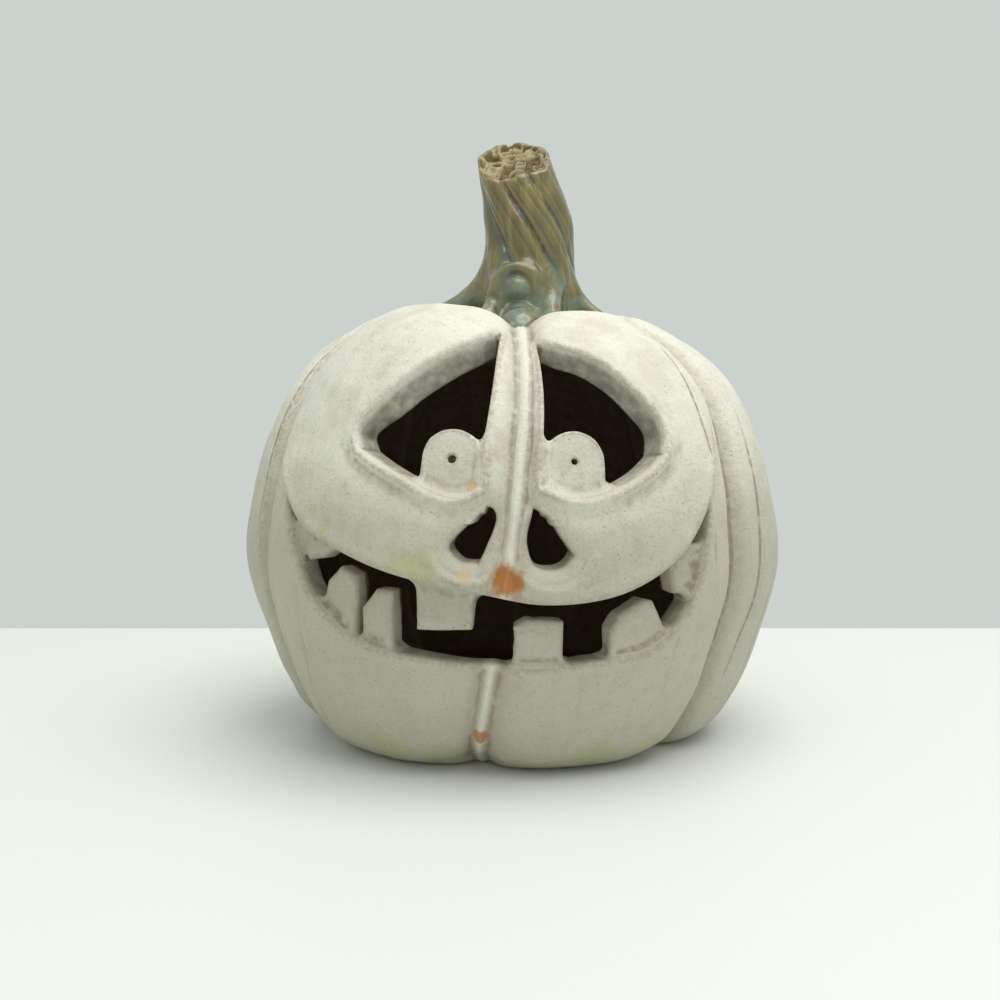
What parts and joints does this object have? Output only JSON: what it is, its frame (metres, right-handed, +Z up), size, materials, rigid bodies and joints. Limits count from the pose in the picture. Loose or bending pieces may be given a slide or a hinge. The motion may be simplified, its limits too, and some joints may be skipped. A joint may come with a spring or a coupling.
{
  "type": "carved pumpkin lantern",
  "caption": "Hollow ceramic pumpkin lantern with a carved grinning face, set-in clay teeth and eye discs, a twisted stem and an open base.",
  "frame": {"origin": "centre of the footprint of the whole object's box, on the surface that it stands on", "axes": "+Z up through the stem, -Y towards the viewer out of the carved face, +X to the viewer's right"},
  "size_m": [0.1734, 0.1705, 0.1932],
  "materials": {
    "shell_glaze": "off-white matt glaze, brown stoneware showing in grooves and inside",
    "stem_glaze": "glossy olive and teal glaze over brown",
    "eye_glaze": "off-white matt glaze, brown at the rims",
    "tooth_glaze": "off-white matt glaze, brown at the roots"
  },
  "bodies": {
    "root": {"pumpkin_shell": "shell_glaze", "stem": "stem_glaze", "left_eye_disc": "eye_glaze", "right_eye_disc": "eye_glaze", "upper_front_tooth": "tooth_glaze", "lower_middle_tooth": "tooth_glaze", "lower_right_tooth": "tooth_glaze", "right_corner_tooth": "tooth_glaze", "lower_left_outer_tooth": "tooth_glaze", "lower_left_inner_tooth": "tooth_glaze", "upper_left_corner_tooth": "tooth_glaze"}
  },
  "joints": []
}
